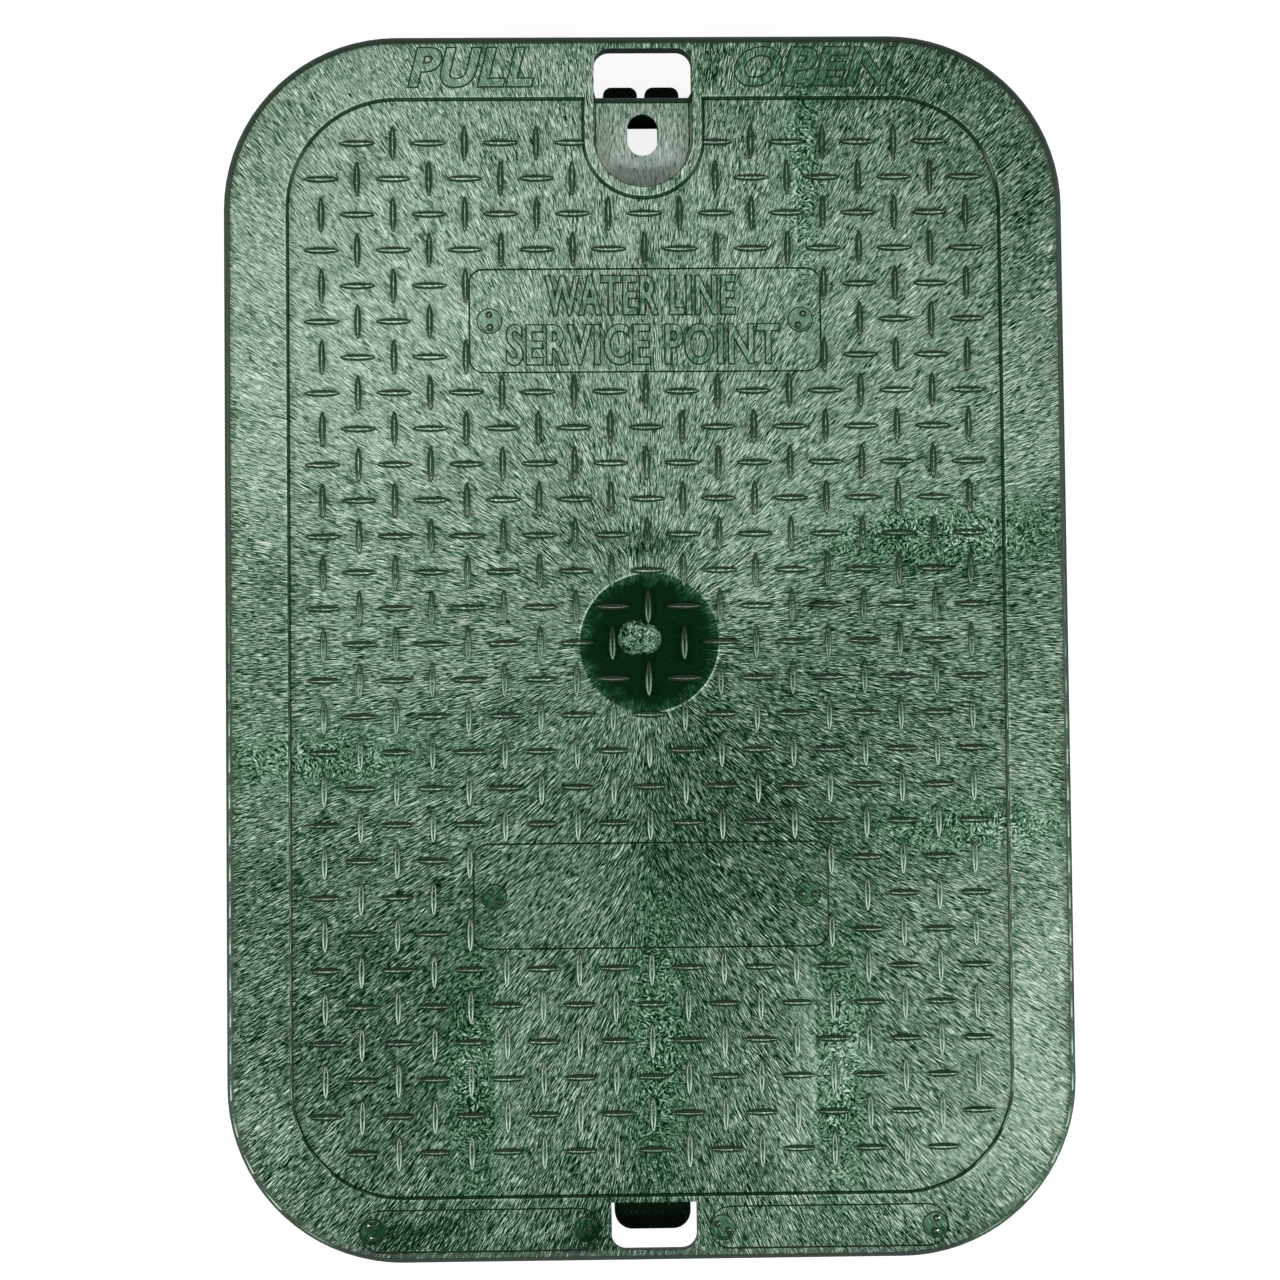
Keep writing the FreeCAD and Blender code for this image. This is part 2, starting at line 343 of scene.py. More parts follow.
def raised_words(name, words, box, floor, rise, slope, weight=0.0, lean=0.0):
    """Letters that fill a box of (x0, x1, y0, y1) on a floor, with sloping sides and thickened strokes."""
    deselect_all()
    bpy.ops.object.text_add(location=(0, 0, 0))
    letters = bpy.context.active_object
    letters.data.body = words
    letters.data.shear = lean
    letters.data.resolution_u = letter_steps
    letters.data.space_character = letter_spacing
    bpy.ops.object.convert(target="CURVE")
    letters = bpy.context.active_object
    spread = 2 * (slope + weight)
    stretch_to(letters.data, box[1] - box[0] - spread, box[3] - box[2] - spread)
    letters.data.offset = weight * MM
    letters.data.bevel_depth = slope * MM
    letters.data.bevel_resolution = 0
    letters.data.fill_mode = "BOTH"
    bpy.ops.object.convert(target="MESH")
    letters = bpy.context.active_object
    letters.scale = (1, 1, rise / slope)
    letters.location = ((box[0] + box[1]) / 2 * MM, (box[2] + box[3]) / 2 * MM, floor * MM)
    bpy.ops.object.mode_set(mode="EDIT")
    bpy.ops.mesh.select_all(action="SELECT")
    bpy.ops.mesh.remove_doubles(threshold=merge_distance * MM)
    bpy.ops.object.mode_set(mode="OBJECT")
    bpy.ops.object.shade_flat()
    return settle(letters, name)


# %% The words
plate_letters = {"rise": 0.8, "slope": 0.55, "weight": 0.15}
rim_letters = {"rise": 0.35, "slope": 0.6, "weight": 0.5, "lean": 0.25}
words = join_pieces([
    raised_words("line", "WATER LINE", (-35.6, 32.3, 115.8, 130.6), plate_floor, **plate_letters),
    raised_words("line", "SERVICE POINT", (-49.5, 48.0, 98.1, 113.3), plate_floor, **plate_letters),
    raised_words("word", "PULL", (-83.4, -38.6, 197.1, 212.1), rim_top, **rim_letters),
    raised_words("word", "OPEN", (32.5, 90.4, 197.1, 212.1), rim_top, **rim_letters),
], "words")
print("words", len(words.data.polygons), "faces")

# %% [markdown]
# ## The broken gate
# In the middle the runner of the mould was snapped off, and a rough flat lump stayed behind. Two spheres, one
# for the lump and one for its tail, are flattened to the height where the runner broke and then roughened by
# a cloud texture.

# %% The lump of the gate
stub_top = field_top + 1.0
flat_from, flat_squash = 0.6, 0.12
tear_size, tear_strength = 1.6, 1.3
tear_clouds = bpy.data.textures.new("tear clouds", "CLOUDS")
tear_clouds.noise_scale = tear_size * MM
tear_clouds.noise_depth = 4


def torn_lump(x, y, radius_x, radius_y, rise):
    deselect_all()
    bpy.ops.mesh.primitive_ico_sphere_add(subdivisions=5, radius=MM, location=(0, 0, 0))
    lump = bpy.context.active_object
    bpy.ops.object.mode_set(mode="EDIT")
    bpy.ops.transform.resize(value=(radius_x, radius_y, rise), center_override=(0, 0, 0))
    top = rise * flat_from
    select_vertices(lump, lambda p: p.z > top)
    bpy.ops.transform.resize(value=(1, 1, flat_squash), center_override=(0, 0, top * MM))
    bpy.ops.object.mode_set(mode="OBJECT")
    lump.location = (x * MM, y * MM, (stub_top - top - flat_squash * (rise - top)) * MM)
    settle(lump, "lump")
    tear = lump.modifiers.new("tear", "DISPLACE")
    tear.texture = tear_clouds
    tear.texture_coords = "LOCAL"
    tear.strength = tear_strength * MM
    tear.mid_level = 0.5
    bpy.ops.object.modifier_apply(modifier="tear")
    bpy.ops.object.shade_smooth()
    return lump


lumps = [torn_lump(-4.9, 1.7, 6.2, 6.5, 3.0), torn_lump(-0.4, 1.2, 5.2, 5.6, 2.6)]
stub = join_pieces(lumps, "gate_stub")
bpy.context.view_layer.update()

# %% [markdown]
# ## The swirled plastic
# Gas that foams the plastic tears its skin into fine pale strokes, which point away from the gate in the
# middle, where the plastic came in. Noise smeared about the gate would make them thin near it and broad at
# the rim. Here the cover is divided into small cells, and each cell has noise that is stretched along one
# direction of its own, so the strokes are straight and keep their size everywhere. Two sets of cells cross
# each other, which hides their borders. Everything is added up as one tone from dark to pale, and a colour
# ramp turns that into greens.

# %% Helpers for shader nodes
class Nodes:
    """Short calls that add one node or a few, and give back their output."""

    def __init__(self, tree):
        self.tree = tree

    def add(self, kind, inputs=None, **settings):
        node = self.tree.nodes.new(kind)
        for name, value in settings.items():
            setattr(node, name, value)
        for name, value in (inputs or {}).items():
            self.feed(node.inputs[name], value)
        return node

    def feed(self, socket, value):
        if isinstance(value, bpy.types.NodeSocket):
            self.tree.links.new(value, socket)
        else:
            socket.default_value = value

    def math(self, operation, *values):
        return self.add("ShaderNodeMath", dict(enumerate(values)), operation=operation).outputs[0]

    def total(self, *values):
        result = values[0]
        for value in values[1:]:
            result = self.math("ADD", result, value)
        return result

    def weighted(self, *pairs):
        """The sum of values that each have a weight."""
        result = 0.0
        for value, weight in pairs:
            result = self.math("MULTIPLY_ADD", value, weight, result)
        return result

    def mix(self, factor, first, second):
        return self.add("ShaderNodeMix", {0: factor, 2: first, 3: second}).outputs[0]

    def fade(self, value, start, end):
        """0 where the value is at start, 1 where it is at end, smooth between them."""
        inputs = {"Value": value, "From Min": start, "From Max": end}
        return self.add("ShaderNodeMapRange", inputs, interpolation_type="SMOOTHSTEP").outputs["Result"]

    def band(self, value, start, full, last, end):
        """1 where the value lies from full to last, fading to 0 at start and at end."""
        return self.math("MULTIPLY", self.fade(value, start, full), self.fade(value, end, last))

    def noise(self, vector, scale, detail=2.0, roughness=0.5):
        """Noise about zero, mostly within a quarter either way."""
        inputs = {"Vector": vector, "Scale": scale, "Detail": detail, "Roughness": roughness}
        return self.math("SUBTRACT", self.add("ShaderNodeTexNoise", inputs).outputs["Fac"], 0.5)

    def tones(self, factor, stops):
        """A colour ramp from (tone, colour) stops, of which the last has the highest tone."""
        full = stops[-1][0]
        node = self.add("ShaderNodeValToRGB", {"Fac": self.math("DIVIDE", factor, full)})
        elements = node.color_ramp.elements
        while len(elements) < len(stops):
            elements.new(1.0)
        for element, (tone, colour) in zip(elements, stops):
            element.position = tone / full
            element.color = (*colour, 1.0)
        return node.outputs["Color"]

    def vector(self, operation, *values):
        return self.add("ShaderNodeVectorMath", dict(enumerate(values)), operation=operation).outputs[0]

    def dot(self, first, second):
        node = self.add("ShaderNodeVectorMath", {0: first, 1: second}, operation="DOT_PRODUCT")
        return node.outputs["Value"]

    def length(self, vector):
        return self.add("ShaderNodeVectorMath", {0: vector}, operation="LENGTH").outputs["Value"]

    def split(self, vector):
        return self.add("ShaderNodeSeparateXYZ", {0: vector}).outputs

    def flat_length(self, x, y):
        return self.length(self.add("ShaderNodeCombineXYZ", {"X": x, "Y": y}).outputs[0])


# %% Helpers for places on the cover
def place_in_mm(n):
    """The place on the cover in millimetres, as a vector and as X, Y and Z."""
    place = n.add("ShaderNodeTexCoord").outputs["Object"]
    spot = n.add("ShaderNodeVectorMath", {0: place, "Scale": 1 / MM}, operation="SCALE").outputs[0]
    return (spot, *n.split(spot))


def slopes(n, lean):
    """How level the surface is, how much it faces left or right, and how level to a plane leant to -Y."""
    facing = n.split(n.add("ShaderNodeTexCoord").outputs["Normal"])
    level = n.math("ABSOLUTE", facing["Z"])
    upright = n.math("MULTIPLY", level, math.cos(lean))
    leant = n.math("MULTIPLY_ADD", facing["Y"], -math.sin(lean), upright)
    return level, n.math("ABSOLUTE", facing["X"]), leant


def pushed_about(n, spot, scale, reach):
    """A place pushed about by slow noise, by up to about a quarter of the reach."""
    inputs = {"Vector": spot, "Scale": scale, "Detail": 2.0}
    away = n.vector("SUBTRACT", n.add("ShaderNodeTexNoise", inputs).outputs["Color"], (0.5, 0.5, 0.5))
    return n.vector("MULTIPLY_ADD", away, (reach, reach, 0), spot)


def soft_spot(n, spot, middle_x, middle_y, reach_x, reach_y):
    """1 at the middle of an ellipse, fading out past its reach."""
    shift = (-middle_x / reach_x, -middle_y / reach_y, 0)
    away = n.vector("MULTIPLY_ADD", spot, (1 / reach_x, 1 / reach_y, 0), shift)
    return n.math("POWER", math.exp(-1), n.dot(away, away))


# %% [markdown]
# ### The strokes
# Within a cell the strokes lie parallel and point away from the gate, give or take a random turn. Below the
# gate two streams part, so the strokes lean away from the middle line. On the shelf of the lock recess they
# run straight towards the slot. Where two streams of plastic met, the skin is crumpled: there very small
# cells with strokes in all directions take over. Squaring part of the strokes makes their pale tips stand
# out more than the dark gaps between them.

# %% Strokes in cells
gate_x, gate_y = -1.0, 0.5
stroke_slant = 0.78
stream_parting, parting_half_width = 32.0, 4.0
parting_from, parting_to = -30.0, -90.0
layer_spread = 50.0


def turn_to_gate(n, middle):
    """The turn that lays a cell's strokes along the line from the gate."""
    from_gate = n.split(n.vector("SUBTRACT", middle, (gate_x, gate_y, 0)))
    right = n.fade(from_gate["X"], -parting_half_width, parting_half_width)
    parted = n.math("MULTIPLY", n.fade(from_gate["Y"], parting_from, parting_to), stream_parting)
    side = n.math("MULTIPLY_ADD", right, 2.0, -1.0)
    sideways = n.math("MULTIPLY_ADD", side, parted, from_gate["X"])
    return n.math("ARCTAN2", n.math("MULTIPLY", from_gate["Y"], -stroke_slant), sideways)


def strokes(n, cells_at, spot, shelf, cell, length, width, spread):
    """Strokes about zero, of a length and width, in cells that may turn by half the spread either way."""
    cell_inputs = {"Vector": cells_at, "Scale": 1 / cell}
    cells = n.add("ShaderNodeTexVoronoi", cell_inputs, voronoi_dimensions="2D").outputs
    middle, chance = cells["Position"], n.split(cells["Color"])["X"]
    turn = n.math("MULTIPLY_ADD", chance, spread, -spread / 2)
    angle = n.math("ADD", n.mix(shelf, turn_to_gate(n, middle), -math.pi / 2), turn)
    turn_inputs = {"Vector": spot, "Center": middle, "Angle": angle}
    turned = n.add("ShaderNodeVectorRotate", turn_inputs, rotation_type="Z_AXIS").outputs[0]
    layer = n.vector("MULTIPLY", cells["Color"], (0, 0, layer_spread))
    stretched = n.vector("MULTIPLY_ADD", turned, (1 / length, 1 / width, 0), layer)
    return n.noise(stretched, 1.0, 1.0, 0.5)


# %% All the strokes together
fine_strokes, broad_strokes, crumpled_strokes = (
    # size of a cell, length and width of a stroke, spread of the turns in radians
    (9.0, 2.9, 0.155, 0.14),
    (19.0, 5.0, 0.30, 0.18),
    (3.0, 1.7, 0.6, 6.0),
)
cell_push = (0.15, 12.0)
fine_gain, crumpled_gain, most_crumpled = 3.7, 3.4, 0.85
tip_gain, tip_mean = 0.4, 0.05
crumpled_lanes = (
    # middle X, middle Y, reach X, reach Y
    (-63, -150, 8, 45),
    (2, -140, 10, 55),
    (66, -150, 9, 45),
    (57, 165, 6, 40),
    (105, 38, 45, 12),
    (115, -66, 35, 9),
    (-115, -40, 35, 9),
)


def torn_strokes(n, spot, shelf):
    cells_at = pushed_about(n, spot, *cell_push)
    fine = strokes(n, cells_at, spot, shelf, *fine_strokes)
    broad = strokes(n, cells_at, spot, shelf, *broad_strokes)
    crumpled = strokes(n, cells_at, spot, 0.0, *crumpled_strokes)
    lanes = n.total(*[soft_spot(n, cells_at, *lane) for lane in crumpled_lanes])
    plain = n.math("MULTIPLY_ADD", fine, fine_gain, broad)
    squared = n.math("MULTIPLY", plain, plain)
    tipped = n.math("MULTIPLY_ADD", squared, tip_gain, n.math("SUBTRACT", plain, tip_mean))
    return n.mix(n.math("MINIMUM", lanes, most_crumpled), tipped, n.math("MULTIPLY", crumpled, crumpled_gain))


# %% [markdown]
# ### Pale and dark patches
# The skin is torn more in some places than in others, and more in the upper half than in the lower. Each
# patch is a soft ellipse given in a list, and slow noise pushes the ellipses out of shape so that none of
# them looks drawn. Along a weld line, where two streams met, one side is pale and the other dark.

# %% The places of the patches
tone_patches = (
    # middle X, middle Y, reach X, reach Y, tone
    (-100, 120, 65, 85, 0.20),
    (-142, 60, 14, 50, 0.05),
    (-142, 185, 16, 40, -0.05),
    (0, 165, 40, 25, 0.06),
    (85, 200, 60, 24, -0.24),
    (114, 165, 22, 32, -0.13),
    (138, 155, 14, 55, -0.21),
    (105, 28, 48, 15, -0.19),
    (138, 14, 13, 20, -0.08),
    (42, 35, 22, 16, 0.10),
    (32, -50, 32, 55, -0.18),
    (-105, -50, 35, 22, 0.06),
    (-137, 20, 20, 22, -0.11),
    (-137, -78, 18, 12, -0.08),
    (-137, -42, 18, 12, 0.05),
    (-22, 40, 20, 18, -0.08),
    (-40, 45, 50, 40, -0.04),
    (0, -72, 75, 36, -0.05),
    (80, -32, 28, 22, -0.05),
    (85, -2, 40, 20, -0.07),
    (-98, -140, 42, 60, -0.16),
    (-82, -204, 18, 10, -0.28),
    (-24, -204, 20, 10, -0.36),
    (0, -188, 40, 14, -0.12),
    (96, -204, 28, 8, -0.12),
    (108, -105, 26, 60, 0.10),
    (112, -180, 28, 26, 0.26),
    (142, -132, 16, 80, 0.28),
    (-57, -148, 11, 40, 0.10),
    (57, -145, 13, 45, 0.20),
    (-138, -172, 14, 26, 0.12),
)
patch_push, patch_gain = (0.032, 60.0), 1.15
sharp_patches = (
    # middle X, middle Y, reach X, reach Y, tone
    (0.0, 34, 11, 4.5, -0.35),
    (24, 207, 7, 8, -0.30),
)
weld_lines = (
    # X of the line, middle Y, reach Y, side on which it is dark
    (57.5, -150, 45, 1),
    (-55.5, -150, 42, -1),
    (54.5, 165, 38, 1),
    (-58.0, 165, 34, 1),
)
weld_reach, weld_edge, weld_pale, weld_dark = 6.0, 0.4, 0.08, 0.10
print("patches", len(tone_patches) + len(sharp_patches), "weld lines", len(weld_lines))

# %% The tone of the patches
upper_from, upper_to, upper_gain, lower_tone = -70.0, 60.0, 0.215, -0.13
mottle_scale, mottle_gain = 0.05, 0.35


def weld_tone(n, spot, x, line_x, middle_y, reach_y, side):
    """A line where two streams met: pale on one side, dark on the other."""
    glow = soft_spot(n, spot, line_x, middle_y, weld_reach, reach_y)
    dark_side = n.fade(x, line_x - weld_edge * side, line_x + weld_edge * side)
    return n.math("MULTIPLY", glow, n.math("MULTIPLY_ADD", dark_side, -weld_pale - weld_dark, weld_pale))


def patch_tone(n, spot, x):
    pushed = pushed_about(n, spot, *patch_push)
    upper = n.fade(n.split(pushed)["Y"], upper_from, upper_to)
    tone = n.math("MULTIPLY_ADD", upper, upper_gain, lower_tone)
    tone = n.math("MULTIPLY_ADD", n.noise(spot, mottle_scale, 3.0, 0.6), mottle_gain, tone)
    for *ellipse, strength in tone_patches:
        tone = n.math("MULTIPLY_ADD", soft_spot(n, pushed, *ellipse), patch_gain * strength, tone)
    for *ellipse, strength in sharp_patches:
        tone = n.math("MULTIPLY_ADD", soft_spot(n, spot, *ellipse), strength, tone)
    return n.total(tone, *[weld_tone(n, spot, x, *line) for line in weld_lines])


# %% [markdown]
# ### The smooth disc at the gate
# Plastic that came straight out of the gate froze with a smooth dark skin. Strokes only reach a little way
# into it, mostly from its frayed border, and its edge has a painted highlight as a thin arc at two sides. The
# disc is on the top side alone.

# %% The mask of the disc
disc_x, disc_y, disc_radius, disc_edge = 0.3, -0.1, 24.7, 0.4
even_share, frayed_share = 0.62, 0.38
fray_scale, fray_reach, fray_depth = 0.14, 16.0, 6.0
arc_direction, arc_from, arc_to = (0.7, -0.7, 0), 13.0, 23.0


def disc_masks(n, spot, z):
    """How much a place belongs to the smooth disc, and the painted highlight of an arc at its edge."""
    away = n.vector("SUBTRACT", spot, (disc_x, disc_y, 0))
    radius = n.length(n.vector("MULTIPLY", away, (1, 1, 0)))
    frayed_radius = n.math("MULTIPLY_ADD", n.noise(spot, fray_scale, 4.0, 0.65), fray_reach, radius)
    even = n.fade(radius, disc_radius + disc_edge, disc_radius - disc_edge)
    frayed = n.fade(frayed_radius, disc_radius + 0.5, disc_radius - fray_depth)
    disc = n.weighted((even, even_share), (frayed, frayed_share))
    edge = n.fade(n.math("ABSOLUTE", n.math("SUBTRACT", radius, disc_radius)), 0.50, 0.10)
    slant = n.math("ABSOLUTE", n.dot(away, arc_direction))
    arc = n.math("MULTIPLY", edge, n.fade(slant, arc_from, arc_to))
    top_side = n.fade(z, field_top - 2.0, field_top - 1.5)
    return n.math("MULTIPLY", disc, top_side), n.math("MULTIPLY", arc, top_side)


# %% [markdown]
# ### Edges of the raised parts
# Along the rim and the lip of the recess the foot of the slope is smooth and gets painted shade, and the edge
# above it gets a painted highlight. The inner slope of the lip gets painted shade too, and the rim is painted
# darker towards its rounded outer edge, as painted shade. All of these follow two distances: how far a place
# lies inside the rim and inside the lip, seen from above.

# %% The lines along the edges
rim_width, edge_slope = 22.0, 0.8
lip_width, recess_draft = 3.4, 0.7
inner_foot = lip_width + recess_draft
outer_from, outer_to = rim_width - 5.5, rim_width - 1.5
skirt_face = half_length - 20.1


def inside_edges(n, x, y):
    """How far a place lies inside the inner edge of the rim and inside the lip, in millimetres."""
    from_x = n.math("SUBTRACT", n.math("ABSOLUTE", x), half_width - corner_radius)
    from_y = n.math("SUBTRACT", n.math("ABSOLUTE", y), half_length - corner_radius)
    from_corner = n.flat_length(n.math("MAXIMUM", from_x, 0.0), n.math("MAXIMUM", from_y, 0.0))
    in_rim = n.math("SUBTRACT", from_corner, corner_radius - rim_width)
    below = n.math("MINIMUM", n.math("SUBTRACT", y, recess_centre), 0.0)
    in_lip = n.math("SUBTRACT", lip_half, n.flat_length(x, below))
    return in_rim, in_lip


def edge_light_and_shade(n, x, y, z):
    """The painted highlight on raised edges, the painted shade at their feet and the painted shade towards
    the outer edge of the rim.
    """
    in_rim, in_lip = inside_edges(n, x, y)
    inside = n.math("MAXIMUM", in_rim, in_lip)
    on_top = n.fade(z, field_top - 1.0, field_top - 0.7)
    highlight = n.band(inside, 0.0, 0.15, 0.40, 0.75)
    foot_shade = n.band(inside, -edge_slope - 0.40, -edge_slope - 0.15, -0.1, 0.1)
    inner_shade = n.band(in_lip, lip_width - 0.3, lip_width - 0.1, inner_foot + 0.1, inner_foot + 0.35)
    inner_shade = n.math("MULTIPLY", inner_shade, n.fade(y, skirt_face + 0.3, skirt_face - 0.3))
    foot_shade = n.math("MAXIMUM", n.math("MULTIPLY", foot_shade, on_top), inner_shade)
    outer_band_shade = n.fade(in_rim, outer_from, outer_to)
    return n.math("MULTIPLY", highlight, on_top), foot_shade, n.math("MULTIPLY", outer_band_shade, on_top)


# %% [markdown]
# ### The shelf of the recess
# The floor of the lock recess lies lower than the field, where little light reaches it, and is painted paler
# as painted light, palest towards its round end. Its front edge above the skirt gets painted shade.

# %% The masks of the shelf
shelf_below, shelf_from_y = (30.0, 29.0), (140.0, 150.0)
shelf_light_y, shelf_light_tone, shelf_end_light_tone = (182.0, 164.0), 0.25, 0.35
shelf_front_shade_y = (skirt_face - 2.6, skirt_face - 2.1)


def shelf_masks(n, y, z):
    """Where the shelf is, the painted shade on its front edge, and how much painted light makes it paler than
    the field.
    """
    shelf = n.math("MULTIPLY", n.fade(z, *shelf_below), n.fade(y, *shelf_from_y))
    front_shade = n.math("MULTIPLY", shelf, n.fade(y, *shelf_front_shade_y))
    painted_light = n.math("MULTIPLY_ADD", n.fade(y, *shelf_light_y), shelf_end_light_tone, shelf_light_tone)
    return shelf, front_shade, painted_light


# %% [markdown]
# ### Flanks of the ribs
# In the lower half the flanks of the ribs along Y are spared most of the painted shade of slopes, as painted
# light, and get a painted highlight along two lines towards their lower ends. The pattern's pitch gives each
# rib its own place along Y, so no rib has to be known by itself.

# %% The painted light on the flanks
flanks_from_y, flanks_to_y = 60.0, -60.0
glint_from, glint_to = 3.5, -4.0


def rib_flank_light(n, across, y, z):
    """How much painted light the flanks get that face left or right, and the two lines of painted highlight
    on them.
    """
    rise = n.math("SUBTRACT", z, field_top)
    sideways = n.math("MULTIPLY", n.fade(across, 0.15, 0.35), n.fade(y, flanks_from_y, flanks_to_y))
    flank_light = n.math("MULTIPLY", n.band(rise, 0.0, 0.2, 1.3, 1.4), sideways)
    along_rib = n.math("WRAP", y, tread_pitch / 2, -tread_pitch / 2)
    line = n.math("MULTIPLY", n.band(rise, 0.72, 0.86, 1.08, 1.18), sideways)
    return flank_light, n.math("MULTIPLY", line, n.fade(along_rib, glint_from, glint_to))


# %% [markdown]
# ### From tone to finish
# Small slopes, such as the sides of ribs and letters, are painted darker as painted shade, more the steeper
# they are. How steep a place is, is measured to a plane that leans a little to the rear rim, so sides that
# face the rear get less painted shade than those that face the front. Upright walls get the darkest painted
# shade. What lies deep below the field is painted dark too, partly as painted shade and partly as its smooth
# dark skin. Darker places are glossier than the torn skin.

# %% The tone of the plastic
middle_tone = 0.46
# Painted shade darkens steep slopes and upright walls.
slope_lean, steep_fade, wall_fade = math.radians(10.0), (0.982, 0.935), (0.50, 0.35)
flank_light_share, wall_shade, glint_tone = 0.5, 0.15, 0.95
disc_smooth, speckle_gain = 0.96, 0.5
# The deep parts below the field are painted dark, partly as painted shade and partly as their smooth dark
# skin.
deep_fade, deep_skin_and_shade_tone = (27.0, 20.0), -0.80
# Tones of the painted highlights on the rib crowns, the disc's arc and the raised edges, and of the painted
# shade at the rim's outer edge.
crown_highlight_tone, arc_highlight_tone, edge_highlight_tone, rim_outer_shade_tone = 0.06, 0.60, 0.14, -0.22


def plastic_tone(n, tear, slope_shade, has_ribs):
    """The place, the tone there with its painted light and shade, how steep it is, and the painted shade
    towards the rim's outer edge.
    """
    spot, x, y, z = place_in_mm(n)
    level, across, leant = slopes(n, slope_lean)
    steep = n.fade(leant, *steep_fade)
    if has_ribs:
        flank_light, glint = rib_flank_light(n, across, y, z)
        steep = n.math("MULTIPLY", steep, n.math("MULTIPLY_ADD", flank_light, -flank_light_share, 1.0))
    shelf, shelf_front_shade, shelf_painted_light = shelf_masks(n, y, z)
    edge_highlight, edge_foot_shade, rim_outer_shade_and_dull = edge_light_and_shade(n, x, y, z)
    disc, arc = disc_masks(n, spot, z)
    # A painted highlight along the crowns of the ribs.
    crown_highlight = n.band(z, field_top + 1.1, field_top + 1.22, field_top + 1.3, field_top + 1.4)

    speckle = n.math("MULTIPLY", n.noise(spot, 1.3, 2.0, 0.7), speckle_gain)
    tears = n.math("MULTIPLY", n.math("ADD", torn_strokes(n, spot, shelf), speckle), tear)
    rough_share = n.math("MULTIPLY_ADD", disc, -disc_smooth, 1.0)
    skin = n.math("MULTIPLY", n.total(tears, patch_tone(n, spot, x), middle_tone), rough_share)
    lines = n.weighted((n.fade(z, *deep_fade), deep_skin_and_shade_tone), (arc, arc_highlight_tone), (crown_highlight, crown_highlight_tone),
                       (shelf, shelf_painted_light), (edge_highlight, edge_highlight_tone), (rim_outer_shade_and_dull, rim_outer_shade_tone))
    # Painted shade on steep slopes and upright walls, at the feet of edges and on the shelf's front edge.
    slope_and_wall_shade = n.math("MULTIPLY_ADD", n.fade(level, *wall_fade), wall_shade, steep)
    painted_shade = n.math("MAXIMUM", n.math("MAXIMUM", edge_foot_shade, shelf_front_shade), slope_and_wall_shade)
    shade = n.math("MAXIMUM", n.math("MULTIPLY_ADD", painted_shade, -slope_shade, 1.0), 0.0)
    tone = n.math("MULTIPLY", n.math("ADD", skin, lines), shade)
    # The glint lines are a painted highlight.
    if has_ribs:
        tone = n.mix(glint, tone, glint_tone)
    return spot, tone, steep, rim_outer_shade_and_dull


# %% The swirled green plastic
green_stops = (
    # tone, colour
    (0.0, (0.001, 0.014, 0.003)),
    (0.28, (0.014, 0.085, 0.032)),
    (0.5, (0.090, 0.210, 0.120)),
    (0.75, (0.262, 0.412, 0.296)),
    (1.0, (0.575, 0.715, 0.600)),
    (1.25, (0.82, 0.92, 0.84)),
)
dark_rough, torn_rough, outer_rough, dull_rough = 0.16, 0.29, 0.4, 0.9
grain_scale, grain_height, grain_strength = 1.6, 0.1, 0.25


def new_material(name):
    """A material with its node helper and its shader."""
    material = bpy.data.materials.new(name)
    material.use_nodes = True
    return material, Nodes(material.node_tree), material.node_tree.nodes["Principled BSDF"]


def swirled_plastic(name, tear=1.0, slope_shade=0.87, dull_slopes=False, has_ribs=False):
    """The finish of the whole cover. Tear is 1 for its skin and less where the mould pressed it smooth."""
    material, n, shader = new_material(name)
    spot, tone, steep, rim_outer_shade_and_dull = plastic_tone(n, tear, slope_shade, has_ribs)
    n.feed(shader.inputs["Base Color"], n.tones(tone, green_stops))
    rough = n.math("MULTIPLY_ADD", n.fade(tone, 0.05, 0.6), torn_rough, dark_rough)
    # The band of painted shade at the rim's outer edge is also made rougher.
    rough = n.math("MULTIPLY_ADD", rim_outer_shade_and_dull, outer_rough, rough)
    if dull_slopes:
        rough = n.mix(steep, rough, dull_rough)
    n.feed(shader.inputs["Roughness"], rough)
    shader.inputs["Specular IOR Level"].default_value = 0.55
    grain = {"Strength": grain_strength, "Distance": grain_height * MM,
             "Height": n.noise(spot, grain_scale, 2.0, 0.6)}
    n.feed(shader.inputs["Normal"], n.add("ShaderNodeBump", grain).outputs["Normal"])
    return material


plastic = swirled_plastic("swirled green plastic", has_ribs=True)
# The words and the screw marks get painted shade on their sides as well, the marks the darkest.
pressed = swirled_plastic("pressed green plastic", 0.6, dull_slopes=True)
stamped = swirled_plastic("stamped green plastic", 0.4, slope_shade=1.0)
print("nodes in the swirled plastic", len(plastic.node_tree.nodes))

# %% [markdown]
# ### Torn plastic
# The broken gate shows the foam inside: pale grains with dark pits between them, and painted light makes it
# palest at the top.

# %% The torn plastic
grain_gain, pit_gain, top_light_gain, torn_tone = 1.8, 3.0, 0.45, 0.08


def torn_plastic(name):
    material, n, shader = new_material(name)
    spot, *axes = place_in_mm(n)
    grains = n.noise(spot, 0.6, 4.0, 0.7)
    pits = n.noise(spot, 1.7, 2.0, 0.6)
    top = n.fade(axes[2], field_top + 0.2, field_top + 1.3)
    tone = n.math("ADD", n.weighted((grains, grain_gain), (pits, pit_gain), (top, top_light_gain)), torn_tone)
    n.feed(shader.inputs["Base Color"], n.tones(tone, green_stops))
    shader.inputs["Roughness"].default_value = 0.6
    shader.inputs["Specular IOR Level"].default_value = 0.35
    crumbs = n.add("ShaderNodeBump", {"Strength": 0.6, "Distance": 0.3 * MM, "Height": grains})
    n.feed(shader.inputs["Normal"], crumbs.outputs["Normal"])
    return material


torn = torn_plastic("torn green plastic")
print("nodes in the torn plastic", len(torn.node_tree.nodes))

# %% [markdown]
# ### Finishes on the pieces
# The cover, its ribs and its seams have the swirled finish. The words were pressed smoother by the mould, and
# the screw marks smoother still; the screw marks also get the darkest painted shade on their slopes. All new
# pieces move with the cover.

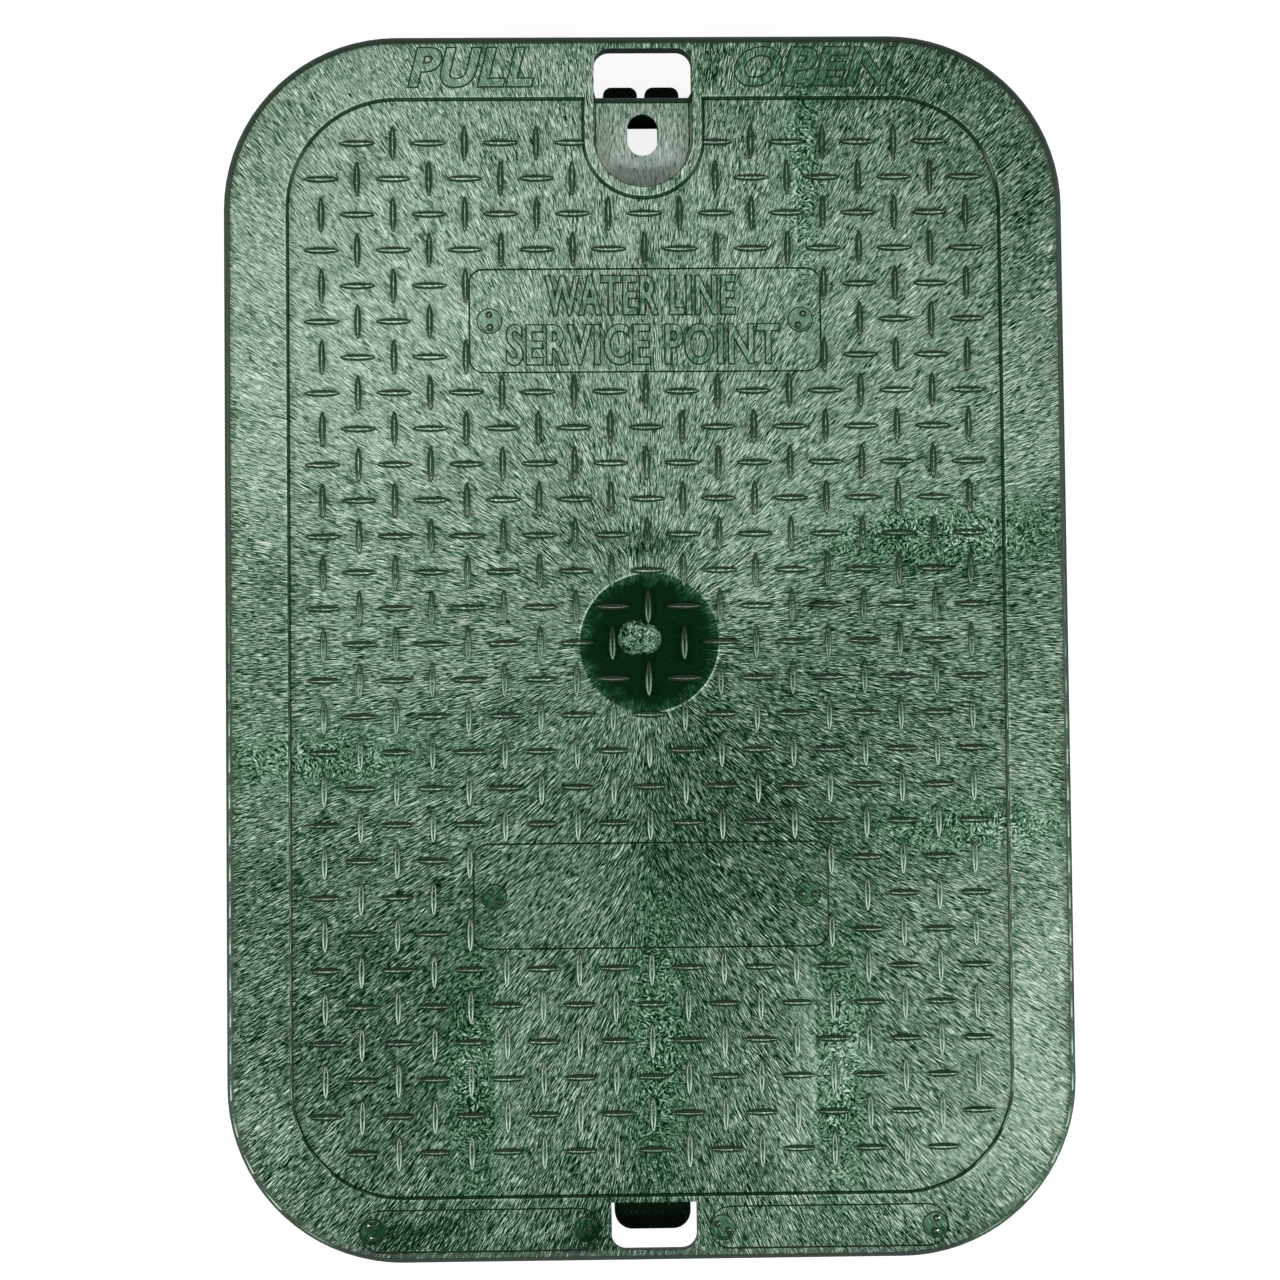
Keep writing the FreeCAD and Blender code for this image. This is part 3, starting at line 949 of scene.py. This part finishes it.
# %% The finishes on their pieces
finishes = {cover: plastic, ribs: plastic, seams: plastic, words: pressed, marks: stamped, stub: torn}
for piece, finish in finishes.items():
    piece.data.materials.clear()
    piece.data.materials.append(finish)
for piece in (ribs, seams, marks, words, stub):
    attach(piece, "root")
print("pieces", {piece.name: finish.name for piece, finish in finishes.items()})

# %% [markdown]
# ## The floor
# The cover lies on white. The floor is grey and glows white only for the camera and for mirror-like rays, so
# it sheds little light under the cover and still takes its shadow. Right under the cover it doesn't glow in
# mirrors, because there it lies in the dark.

# %% The floor
floor_size, floor_grey, floor_glow = 8.0, 0.30, 0.88
dark_inside, glow_outside = 0.24, 0.34
bpy.ops.mesh.primitive_plane_add(size=floor_size, location=(0, 0, 0))
floor = bpy.context.active_object
floor.name = "floor"
floor_white, n, floor_shader = new_material("white floor")
floor_shader.inputs["Base Color"].default_value = (floor_grey, floor_grey, floor_grey, 1)
floor_shader.inputs["Roughness"].default_value = 0.9
seen = n.add("ShaderNodeLightPath").outputs
mirrored = n.math("MAXIMUM", seen["Is Glossy Ray"], seen["Is Transmission Ray"])
away = n.fade(n.length(n.add("ShaderNodeTexCoord").outputs["Object"]), dark_inside, glow_outside)
shown = n.math("MAXIMUM", seen["Is Camera Ray"], n.math("MULTIPLY", mirrored, away))
glow = n.add("ShaderNodeEmission", {"Color": (1, 1, 1, 1), "Strength": n.math("MULTIPLY", shown, floor_glow)})
both = n.add("ShaderNodeAddShader", {0: floor_shader.outputs[0], 1: glow.outputs[0]})
n.feed(floor_white.node_tree.nodes["Material Output"].inputs["Surface"], both.outputs[0])
floor.data.materials.append(floor_white)
print("floor", floor_size, "m")

# %% [markdown]
# ## The lights
# The studio is evenly pale all round and nearly dark overhead, so level faces mirror little and keep their
# own colours. The camera sees it as white. Two low softboxes, left and right and a little below the middle,
# make the upright ribs of the lower half shine, while those further up stay dark. A long softbox beyond the
# rear rim draws a fine line along the crowns of the ribs along X.

# %% The lights
wall_light, ceiling_light = 0.50, 0.02
ceiling_edge = (0.94, 0.86)
world = bpy.data.worlds.new("studio")
world.use_nodes = True
n = Nodes(world.node_tree)
sky = world.node_tree.nodes["Background"]
sky.inputs["Color"].default_value = (1, 1, 1, 1)
above = n.split(n.add("ShaderNodeTexCoord").outputs["Generated"])["Z"]
studio = n.math("MULTIPLY_ADD", n.fade(above, *ceiling_edge), wall_light - ceiling_light, ceiling_light)
n.feed(sky.inputs["Strength"], n.mix(n.add("ShaderNodeLightPath").outputs["Is Camera Ray"], studio, 1.0))
bpy.context.scene.world = world


def softbox(name, place, size, power):
    bpy.ops.object.light_add(type="AREA", location=place)
    light = bpy.context.active_object
    light.name = name
    light.data.shape = "RECTANGLE"
    light.data.size, light.data.size_y = size
    light.data.energy = power
    light.rotation_euler = (Vector((0, 0, 0)) - Vector(place)).to_track_quat("-Z", "Y").to_euler()


side_size, side_power = (0.40, 0.18), 7.5
softbox("left softbox", (-1.2, -0.17, 0.62), side_size, side_power)
softbox("right softbox", (1.2, -0.17, 0.62), side_size, side_power)
softbox("rear softbox", (0.0, -0.9, 1.3), (0.9, 0.12), 6.5)

# %% [markdown]
# ## The camera
# It looks almost straight down, from a little left of the middle and towards the rear, with a slight roll.

# %% The camera
camera_place = Vector((-0.0447, -0.0738, 1.3375))
camera_aim = Vector((-0.0030, 0.0008, 0.0370))
camera_roll, camera_lens, camera_sensor = math.radians(-0.6), 104.06, 36.0
bpy.ops.object.camera_add(location=camera_place)
camera = bpy.context.active_object
forward = (camera_aim - camera_place).normalized()
right = forward.cross(Vector((0, 1, 0))).normalized()
facing = Matrix((right, right.cross(forward), -forward)).transposed()
camera.rotation_euler = (facing @ Matrix.Rotation(camera_roll, 3, "Z")).to_euler()
camera.data.sensor_width = camera_sensor
camera.data.lens = camera_lens
bpy.context.scene.camera = camera
bpy.context.scene.view_settings.view_transform = "Standard"
print("camera", round((camera_aim - camera_place).length, 3), "m from its aim")
